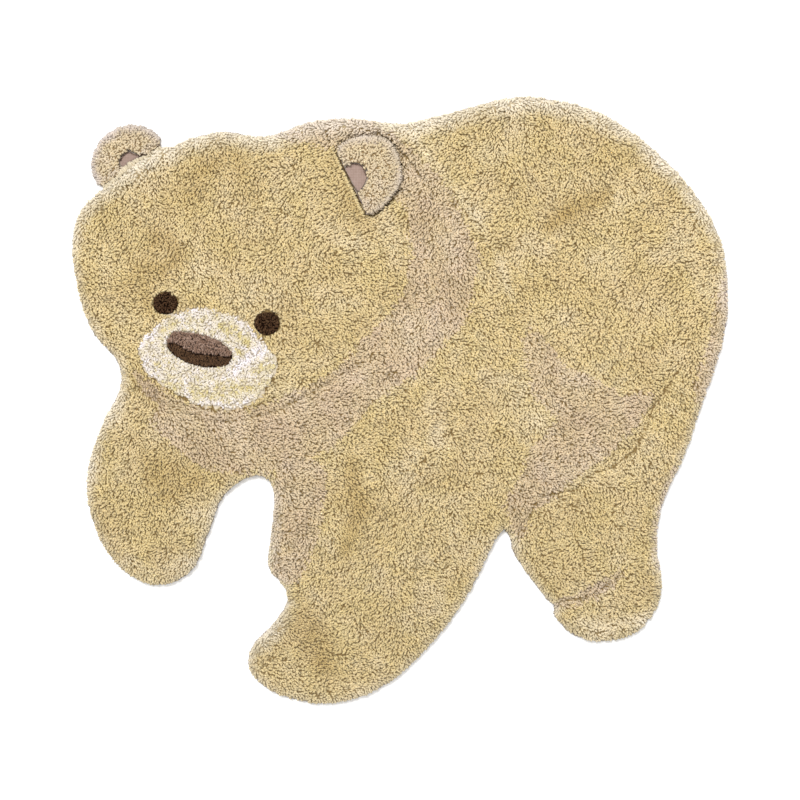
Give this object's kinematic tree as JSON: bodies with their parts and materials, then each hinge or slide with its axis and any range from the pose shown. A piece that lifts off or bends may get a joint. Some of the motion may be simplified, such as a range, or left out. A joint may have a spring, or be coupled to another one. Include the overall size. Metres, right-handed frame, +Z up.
{
  "type": "bear shaped kids rug",
  "caption": "Flat tufted cotton floor rug cut to the outline of a walking bear, with sewn-on tufted ear flaps, bare cotton inner ears and pile carved along the legs and chin.",
  "frame": {"origin": "on the floor, under the middle of the whole outline", "axes": "+X towards the rump, +Y towards the back, +Z up out of the pile"},
  "size_m": [1.3162, 1.2192, 0.0268],
  "materials": {
    "honey_pile": "cut cotton pile, matt",
    "shade_pile": "cut cotton pile, matt",
    "cream_pile": "looped cotton pile, matt",
    "nose_pile": "cut cotton pile, matt",
    "ear_pile": "cut cotton pile, matt",
    "bare_cotton": "plain woven cotton, matt"
  },
  "bodies": {
    "root": {"rug": "honey_pile", "ear_left": "ear_pile", "ear_right": "ear_pile", "inner_ear_left": "bare_cotton", "inner_ear_right": "bare_cotton"}
  },
  "joints": []
}
